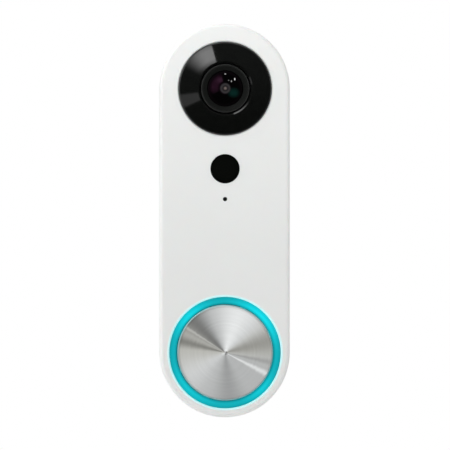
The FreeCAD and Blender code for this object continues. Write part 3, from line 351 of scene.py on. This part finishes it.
def front_glass():
    """The front element: dark multi-coated glass, drawn opaque, with painted reflections in the purple and green of its
    coatings, painted glints, and the pupil deep inside painted onto its face; the colour is also emitted, a painted
    glow.
    """
    m = Mat("coated_front_glass", Roughness=0.03, IOR=1.5)
    m.set("Specular IOR Level", 0.05)
    m.set("Specular Tint", (0.8, 0.35, 0.65, 1.0))
    r, s = m.radius(0.0, CAM_Z)
    a = m.clock(s)
    grain = m.noise(m.pos(), 900.0, 2.0)
    # painted reflections: the studio light in the coating, purple from about 8 to 12 o'clock and a green patch towards
    # 4 o'clock
    purple = m.math("MULTIPLY", band_of(m, a, 0.66, 0.76, 0.90, 0.985), band_of(m, r, 0.0016, 0.0030, 0.0040, 0.0054))
    green = spot(m, 0.0027, -0.0014, 0.0017, 0.0014, 0.8)
    col = m.mix(purple, lin(3), lin(34, 16, 28))
    col = m.mix(green, col, lin(10, 38, 34))
    # the inner elements and the lit pupil, painted on the face rather than seen through the glass
    disc = m.range(r, 0.0013, 0.0020, 0.85, 0.0, smooth=True)
    col = m.mix(disc, col, lin(36))
    ring = band_of(m, r, 0.0009, 0.0012, 0.0014, 0.0018)
    col = m.mix(m.math("MULTIPLY", ring, 0.7), col, lin(54))
    pupil = m.range(r, 0.00015, 0.0007, 1.0, 0.0, smooth=True)
    col = m.mix(pupil, col, lin(104, 95, 90))
    # painted glints: four small highlights of the studio lights on the dome
    for x, z, rx, rz, tone, k in (
        (0.0, 0.0047, 0.0003, 0.0002, 180, 0.9), (0.0031, 0.0030, 0.0002, 0.0004, 240, 0.9),
        (0.0020, 0.0023, 0.0002, 0.0003, 180, 0.8), (0.0011, 0.0026, 0.0002, 0.0002, 120, 0.8),
    ):
        col = m.mix(m.math("MULTIPLY", spot(m, x, z, rx, rz, 0.6), k), col, lin(tone))
    col = m.vec("SCALE", col, m.range(grain, 0.3, 0.7, 0.9, 1.1))
    # a third of the colour goes to the base colour, and the full colour is also emitted: a painted glow
    m.link(m.vec("SCALE", col, 0.3), m.p.inputs["Base Color"])
    m.link(col, m.p.inputs["Emission Color"])
    m.set("Emission Strength", 0.7)
    m.link(m.range(grain, 0.3, 0.7, 0.02, 0.04), m.p.inputs["Roughness"])
    return m.m


def inner_glass(name, tint):
    """An inner element, seen dark inside the barrel, with painted reflections in its coating's colours and the pupil
    painted on; the colour is also emitted, a painted glow.
    """
    m = Mat(name, IOR=1.6)
    m.set("Specular IOR Level", 0.5)
    m.set("Coat Weight", 0.3)
    m.set("Coat Roughness", 0.03)
    r, s = m.radius(0.0, CAM_Z)
    a = m.clock(s)
    # painted reflections in the coating: purple towards 9 to 11 o'clock, green towards 4 o'clock
    purple = m.math(
        "MULTIPLY",
        m.range(m.math("ABSOLUTE", m.math("SUBTRACT", a, 0.80)), 0.04, 0.19, 1.0, 0.0, smooth=True),
        m.math("MULTIPLY", m.range(r, 0.0013, 0.0024, 0.0, 1.0, smooth=True), m.range(r, 0.0030, 0.0044, 1.0, 0.0, smooth=True)),
    )
    green = m.math(
        "MULTIPLY",
        m.range(m.math("ABSOLUTE", m.math("SUBTRACT", a, 0.35)), 0.02, 0.11, 1.0, 0.0, smooth=True),
        m.math("MULTIPLY", m.range(r, 0.0012, 0.0020, 0.0, 1.0, smooth=True), m.range(r, 0.0026, 0.0038, 1.0, 0.0, smooth=True)),
    )
    col = m.mix(purple, tint, (0.030, 0.010, 0.022, 1))
    col = m.mix(green, col, (0.004, 0.030, 0.022, 1))
    ring = m.math("MULTIPLY", m.range(r, 0.00085, 0.0011, 0.0, 1.0, smooth=True), m.range(r, 0.00125, 0.0015, 1.0, 0.0, smooth=True))
    col = m.mix(ring, col, (0.030, 0.030, 0.029, 1))
    pupil = m.range(r, 0.0002, 0.0006, 1.0, 0.0, smooth=True)
    col = m.mix(pupil, col, (0.20, 0.17, 0.155, 1))
    grain = m.noise(m.pos(), 2600.0, 2.0)
    col = m.vec("SCALE", col, m.range(grain, 0.3, 0.7, 0.92, 1.08))
    m.link(col, m.p.inputs["Base Color"])
    # the colour is also emitted: a painted glow
    m.link(col, m.p.inputs["Emission Color"])
    m.set("Emission Strength", 0.75)
    m.link(m.range(grain, 0.3, 0.7, 0.05, 0.09), m.p.inputs["Roughness"])
    return m.m


def motion_black():
    """The motion lens: black filled polyethylene with faint moulded rings."""
    m = Mat("motion_lens_black", IOR=1.5)
    m.set("Specular IOR Level", 0.01)
    r, s = m.radius(0.0, PIR_Z)
    rings = m.math("SINE", m.math("MULTIPLY", r, 2 * math.pi / 0.00085))
    fine = m.noise(m.pos(), 4200.0, 2.0)
    k = m.math("ADD", m.math("MULTIPLY", rings, 0.22), m.range(fine, 0.3, 0.7, 0.9, 1.1))
    col = m.vec("SCALE", (0.0019, 0.0023, 0.0018), k)
    m.link(col, m.p.inputs["Base Color"])
    m.link(m.range(fine, 0.3, 0.7, 0.17, 0.26), m.p.inputs["Roughness"])
    m.bump(rings, 0.12, 0.00003)
    return m.m


def lobe(m, a, hour, width, height):
    """A soft bump of the given height round the clock at hour, fading out width hours to each side."""
    d = m.math("ABSOLUTE", m.math("SUBTRACT", m.math("FRACT", m.math("ADD", a, 1.5 - hour / 12.0)), 0.5))
    return m.range(d, 0.0, width / 12.0, height, 0.0, smooth=True)


def lobes(m, a, base, items):
    out = base
    for hour, width, height in items:
        out = m.math("ADD", out, lobe(m, a, hour, width, height))
    return out


# painted reflection: the light and dark sectors the lamps make on turned steel, set into the base colour: hour,
# half-width in hours, how much lighter or darker
PAINTED_SECTORS = [
    (12.6, 1.6, 0.30), (2.5, 0.8, -0.16), (3.4, 0.2, -0.10), (3.9, 0.2, 0.25), (5.8, 1.0, -0.12), (8.0, 1.5, 0.08),
    (9.5, 0.4, -0.22), (10.1, 0.1, 0.15), (10.5, 0.9, -0.26),
]
# painted reflection: a warm tint in the sectors: hour, half-width in hours, how strong
PAINTED_WARM = [(2.6, 1.2, 0.8), (9.5, 1.8, 0.8)]


def spun_steel():
    """The button: spun stainless steel, fine rings round its axis that spread the light into sectors; the sectors and a
    warm tint in them are also painted into the base colour as painted reflections, and the teal of the light ring is
    painted on its rounded edge.
    """
    m = Mat("spun_steel", Metallic=1.0)
    m.set("Anisotropic", 0.75)
    tan = m.add("Tangent", direction_type="RADIAL", axis="Y")
    m.link(tan.outputs[0], m.p.inputs["Tangent"])
    r, s = m.radius(0.0, BTN_Z)
    a = m.clock(s)
    wander = m.noise(m.math("MULTIPLY", r, 700.0), 1.0, 2.0, 0.6, "1D")
    a = m.math("FRACT", m.math("ADD", a, m.range(wander, 0.3, 0.7, 0.9985, 1.0015)))
    tone = m.math("MAXIMUM", lobes(m, a, 0.44, PAINTED_SECTORS), 0.12)
    tint = m.mix(lobes(m, a, 0.0, PAINTED_WARM), (0.98, 1.0, 1.0, 1), (1.0, 0.99, 0.90, 1))
    painted_fans = m.vec("SCALE", tint, tone)
    rings = m.noise(m.math("MULTIPLY", r, 3600.0), 1.0, 4.0, 0.7, "1D")
    coarse = m.noise(m.math("MULTIPLY", r, 800.0), 1.0, 2.0, 0.5, "1D")
    k = m.math("MULTIPLY", m.range(rings, 0.25, 0.75, 0.955, 1.045), m.range(coarse, 0.3, 0.7, 0.97, 1.03))
    k = m.math("MULTIPLY", k, m.range(r, 0.0, 0.0016, 1.30, 1.0, smooth=True))
    painted_fans = m.vec("SCALE", painted_fans, k)
    # painted reflection: the rounded edge of the cap is painted the teal of the light ring beside it, and made less
    # metallic
    painted_rim_glow = m.range(r, 0.01515, 0.01535, 0.0, 1.0, smooth=True)
    m.link(m.mix(painted_rim_glow, painted_fans, (0.34, 0.56, 0.57, 1)), m.p.inputs["Base Color"])
    m.link(m.range(painted_rim_glow, 0.0, 1.0, 1.0, 0.12), m.p.inputs["Metallic"])
    m.link(m.range(rings, 0.25, 0.75, 0.27, 0.38), m.p.inputs["Roughness"])
    m.bump(rings, 0.10, 0.00001)
    return m.m


def lit_ring():
    """The light ring: a milky diffuser lit from behind, brighter in four places and darker at both rims."""
    m = Mat("lit_ring_diffuser", IOR=1.45)
    m.set("Specular IOR Level", 0.08)
    m.set("Subsurface Weight", 0.1)
    m.set("Subsurface Scale", 0.001)
    r, s = m.radius(0.0, BTN_Z)
    a = m.clock(s)
    level = lobes(m, a, 0.60, [(1.5, 1.6, 0.50), (4.5, 1.0, 0.25), (7.5, 1.4, 0.20), (10.5, 1.2, 0.40)])
    glow = m.vec("SCALE", (0.002, 0.72, 0.82), level)
    fine = m.noise(m.pos(), 2400.0, 2.0)
    inner = m.range(r, 0.01590, 0.01665, 0.60, 1.0, smooth=True)
    outer = m.range(r, 0.01690, 0.01800, 1.0, 0.78, smooth=True)
    k = m.math("MULTIPLY", m.math("MULTIPLY", inner, outer), m.range(fine, 0.3, 0.7, 0.97, 1.03))
    glow = m.vec("SCALE", glow, k)
    m.link(glow, m.p.inputs["Emission Color"])
    m.set("Emission Strength", 0.85)
    base = m.vec("SCALE", (0.0, 0.085, 0.10), m.range(fine, 0.3, 0.7, 0.94, 1.06))
    m.link(base, m.p.inputs["Base Color"])
    m.link(m.range(fine, 0.3, 0.7, 0.28, 0.36), m.p.inputs["Roughness"])
    m.bump(fine, 0.05, 0.00002)
    return m.m


M = {
    "faceplate": shell_white(),
    "camera_window": window_black(),
    "lens_retainer": lens_metal("lens_ring_charcoal", (0.0066, 0.0073, 0.0066), 0.42, 1.0),
    "lens_barrel": lens_metal("barrel_black", (0.0022, 0.0023, 0.0023), 0.55),
    "front_lens": front_glass(),
    "middle_lens": inner_glass("inner_glass_front", (0.0006, 0.0006, 0.0007, 1)),
    "rear_lens": inner_glass("inner_glass_rear", (0.001, 0.001, 0.0012, 1)),
    "motion_lens": motion_black(),
    "button_cap": spun_steel(),
    "light_ring": lit_ring(),
}
HOUSE = plastic("housing_soft_white", (0.74, 0.75, 0.735), 0.52, 5600.0, 0.00004, 0.22, 0.012, 0.05, 0.4)
BLACK = plastic("moulded_black", (0.012, 0.012, 0.013), 0.55, 4200.0, 0.00006, 0.35, 0.10, 0.08, 0.4)
BRACKET = plastic("bracket_black", (0.020, 0.020, 0.021), 0.6, 3600.0, 0.00008, 0.45, 0.12, 0.08, 0.4)
GREYRUB = soft_rubber("silicone_grey", (0.16, 0.165, 0.17), 0.62)
DARKRUB = soft_rubber("silicone_dark", (0.012, 0.012, 0.013), 0.7)
FOAM = soft_rubber("foam_black", (0.012, 0.012, 0.012), 0.9)
GREEN = board("board_green", (0.008, 0.085, 0.035), (0.02, 0.16, 0.06, 1))
DARKPCB = board("board_black", (0.006, 0.007, 0.008), (0.02, 0.022, 0.025, 1))
CHIP = plastic("chip_epoxy", (0.016, 0.016, 0.017), 0.5, 7000.0, 0.00003, 0.3, 0.12, 0.08, 0.4)
TIN = metal("tinned_steel", (0.60, 0.59, 0.57), 0.34)
NICKEL = metal("nickel_can", (0.66, 0.65, 0.63), 0.2)
ZINC = metal("zinc_screw", (0.52, 0.53, 0.55), 0.3, (1500.0, 1500.0, 1500.0))
BLACKSCREW = metal("black_oxide", (0.035, 0.035, 0.038), 0.4, (1500.0, 1500.0, 1500.0), tone=0.12)
BRASS = metal("machined_brass", (0.72, 0.50, 0.20), 0.28, (1200.0, 1200.0, 400.0), dark=(0.22, 0.13, 0.05, 1))
COPPER = metal("enamelled_copper", (0.66, 0.24, 0.08), 0.3, (6000.0, 200.0, 200.0))
ALU = metal("drawn_aluminium", (0.70, 0.71, 0.73), 0.3)
CREAM = plastic("connector_cream", (0.55, 0.50, 0.37), 0.5, 4200.0, tone=0.05)
WHITEP = plastic("carrier_white", (0.62, 0.63, 0.64), 0.5, 4200.0, tone=0.03)
LEDW = plastic("led_phosphor", (0.75, 0.66, 0.22), 0.35, 3000.0, tone=0.06, coat=0.6)
LEDD = plastic("led_tinted", (0.045, 0.008, 0.016), 0.15, 2500.0, strength=0.05, tone=0.1, coat=0.8)
AMBER = plastic("polyimide_film", (0.36, 0.13, 0.012), 0.25, 900.0, tone=0.1, coat=0.5)
CONE = plastic("pressed_cone", (0.018, 0.018, 0.02), 0.7, 2600.0, 0.0001, 0.6, 0.2)
RED = soft_rubber("wire_red", (0.35, 0.012, 0.012), 0.5)
SENSOR = plastic("sensor_die", (0.03, 0.028, 0.045), 0.2, 5000.0, tone=0.15, coat=0.7)


def filter_glass():
    m = Mat("filter_coating", Roughness=0.03, IOR=1.52)
    m.set("Transmission Weight", 0.7)
    n = m.noise(m.pos(), 260.0, 2.0)
    m.link(m.mix(m.range(n, 0.3, 0.7, 0.0, 1.0), (0.35, 0.75, 0.72, 1), (0.45, 0.60, 0.85, 1)), m.p.inputs["Base Color"])
    return m.m


BY = {
    HOUSE: ["rear_housing"],
    BRACKET: ["wall_bracket"],
    BLACK: ["chassis", "lens_holder", "filter_carriage", "filter_lever", "speaker_frame", "switch_body", "board_connector"],
    GREYRUB: ["housing_gasket", "window_gasket", "button_seal"],
    DARKRUB: ["microphone_boot"],
    FOAM: ["light_baffle", "barrel_seal", "speaker_gasket"],
    GREEN: ["main_board", "power_board", "button_board"],
    DARKPCB: ["infrared_board", "sensor_board"],
    CHIP: ["main_board_parts", "power_board_parts"],
    TIN: ["processor_shield", "wireless_module", "switcher_yoke", "speaker_magnet"],
    NICKEL: ["motion_sensor"],
    ZINC: ["lever_pivot", "board_screws", "button_board_screws"],
    BLACKSCREW: ["housing_screws", "security_screw"],
    BRASS: ["terminal_inserts", "terminal_plates", "terminal_screws", "wireless_antenna"],
    COPPER: ["switcher_coil"],
    ALU: ["capacitors"],
    CREAM: ["board_sockets"],
    WHITEP: ["button_carrier", "switch_plunger"],
    LEDW: ["ring_leds"],
    LEDD: ["infrared_leds"],
    AMBER: ["camera_ribbon", "button_ribbon"],
    CONE: ["speaker_cone"],
    RED: ["speaker_wires"],
    SENSOR: ["image_sensor"],
}
for mat, names in BY.items():
    for n in names:
        M[n] = mat
M["carriage_filters"] = filter_glass()
for name, obj in nodes.items():
    for i in range(max(1, len(obj.material_slots))):
        if obj.material_slots:
            obj.material_slots[i].material = M[name]
        else:
            obj.data.materials.append(M[name])

# ------------------------------------------------------------ the seal under the button, on its own mesh and carried by the housing; in the real part it gives as the button goes in
hard = nodes["button_seal"]
seal = bpy.data.objects.new("button_seal_soft", hard.data.copy())
scene.collection.objects.link(seal)
seal.matrix_world = hard.matrix_world.copy()
seal.data.materials.clear()
seal.data.materials.append(GREYRUB)
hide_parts("button_seal")
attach(seal, "housing")
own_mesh(seal)

# ------------------------------------------------------------ stage
bpy.ops.mesh.primitive_circle_add(vertices=96, radius=1.45, fill_type="NGON", location=(0, 0, -0.165))
floor = bpy.context.object
floor.name = "floor"
fm = Mat("floor_pale", Roughness=0.8)
fm.link(fm.mix(fm.range(fm.noise(fm.pos(), 9.0, 3.0), 0.3, 0.7, 0.0, 1.0), (0.80, 0.80, 0.80, 1), (0.83, 0.83, 0.83, 1)), fm.p.inputs["Base Color"])
back = fm.math("MAXIMUM", fm.add("NewGeometry").outputs["Backfacing"], fm.add("LightPath").outputs["Is Glossy Ray"])
clear = fm.add("BsdfTransparent")
mixs = fm.add("MixShader")
fm.link(back, mixs.inputs[0])
fm.link(fm.p.outputs[0], mixs.inputs[1])
fm.link(clear.outputs[0], mixs.inputs[2])
fm.link(mixs.outputs[0], fm.nt.nodes["Material Output"].inputs[0])
floor.data.materials.append(fm.m)

# ------------------------------------------------------------ world: a studio drawn by direction
world = bpy.data.worlds.new("studio")
scene.world = world
world.use_nodes = True
wt = world.node_tree
wt.nodes.clear()


class World(Mat):
    def __init__(self, nt):
        self.nt = nt


w = World(wt)
out = w.add("OutputWorld")
d = w.add("TexCoord").outputs["Generated"]
dx, dy, dz = w.sep(d)
front = w.math("MULTIPLY", dy, -1.0)
polar = w.math("MULTIPLY", w.math("ARCCOSINE", front), 180 / math.pi)  # degrees off the object's front axis
az = w.math("MULTIPLY", w.math("ARCTAN2", dx, dz), 180 / math.pi)  # -180 to 180, 0 is up, + is to the right


def smooth(v, a, b, c, e):
    return w.range(v, a, b, c, e, smooth=True)


def band(v, lo0, lo1, hi0, hi1):
    return w.math("MULTIPLY", smooth(v, lo0, lo1, 0.0, 1.0), smooth(v, hi0, hi1, 1.0, 0.0))


fill = w.math("MULTIPLY", smooth(polar, 17.0, 25.0, 1.0, 0.0), 1.5)
around = w.math("MULTIPLY", smooth(polar, 52.0, 72.0, 0.0, 1.0), w.math("MULTIPLY", w.math("ADD", smooth(dz, -1.0, 1.0, 0.50, 0.92), smooth(dz, 0.84, 0.97, 0.0, 0.45)), w.math("ADD", w.range(dx, -1.0, 1.0, 1.15, 0.78), smooth(dx, -0.5, -0.95, 0.0, 0.9))))
key = w.math("MULTIPLY", w.math("MULTIPLY", smooth(az, -62.0, -27.0, 0.0, 1.0), smooth(az, -15.2, -14.4, 1.0, 0.0)), w.math("MULTIPLY", band(polar, 26.0, 33.0, 41.0, 52.0), 4.6))
low = w.math("MULTIPLY", w.math("MULTIPLY", band(az, -116.0, -112.0, -99.0, -94.0), band(polar, 20.0, 27.0, 42.0, 54.0)), 0.62)
upper = w.math("MULTIPLY", w.math("MULTIPLY", band(az, -78.0, -55.0, -9.0, -3.0), band(polar, 76.0, 84.0, 104.0, 116.0)), 0.9)
rest = w.math("MULTIPLY", band(polar, 16.0, 26.0, 52.0, 72.0), smooth(dz, -0.8, 0.8, 0.03, 0.11))
total = w.math("ADD", w.math("ADD", fill, around), w.math("ADD", w.math("ADD", key, upper), w.math("ADD", low, rest)))
bg = w.add("Background")
w.link(w.comb(total, total, total), bg.inputs["Color"])
white = w.add("Background")
white.inputs["Color"].default_value = (1, 1, 1, 1)
sel = w.add("MixShader")
w.link(w.add("LightPath").outputs["Is Camera Ray"], sel.inputs[0])
w.link(bg.outputs[0], sel.inputs[1])
w.link(white.outputs[0], sel.inputs[2])
w.link(sel.outputs[0], out.inputs["Surface"])


def area(name, loc, target, size, power, size_y=None, color=(1, 1, 1), glossy=True):
    l = bpy.data.lights.new(name, "AREA")
    l.energy = power
    l.size = size
    if size_y:
        l.shape = "RECTANGLE"
        l.size_y = size_y
    l.color = color
    o = bpy.data.objects.new(name, l)
    o.location = loc
    o.rotation_euler = (Vector(target) - Vector(loc)).to_track_quat("-Z", "Y").to_euler()
    o.visible_glossy = glossy
    scene.collection.objects.link(o)
    return o


area("top_soft", (-0.005, -0.10, 0.085), (0, -0.02, 0.04), 0.06, 0.0205, glossy=False)
area("front_fill", (0.02, -0.80, -0.10), (0, -0.02, -0.02), 0.40, 0.72, glossy=False)

# ------------------------------------------------------------ camera
cam_data = bpy.data.cameras.new("camera")
cam = bpy.data.objects.new("camera", cam_data)
scene.collection.objects.link(cam)
AZ = math.radians(-1.6)
DIST = 1.9
FRAME = 0.14686  # width of the view at the front face
aim = Vector((-0.00003, -0.0224, -0.00145))
cam.location = aim + Vector((math.sin(AZ), -math.cos(AZ), 0)) * DIST
cam.rotation_euler = (aim - cam.location).to_track_quat("-Z", "Y").to_euler()
cam_data.sensor_width = 36.0
cam_data.lens = 36.0 * DIST / FRAME
cam_data.clip_start = 0.05
cam_data.clip_end = 20.0
scene.camera = cam
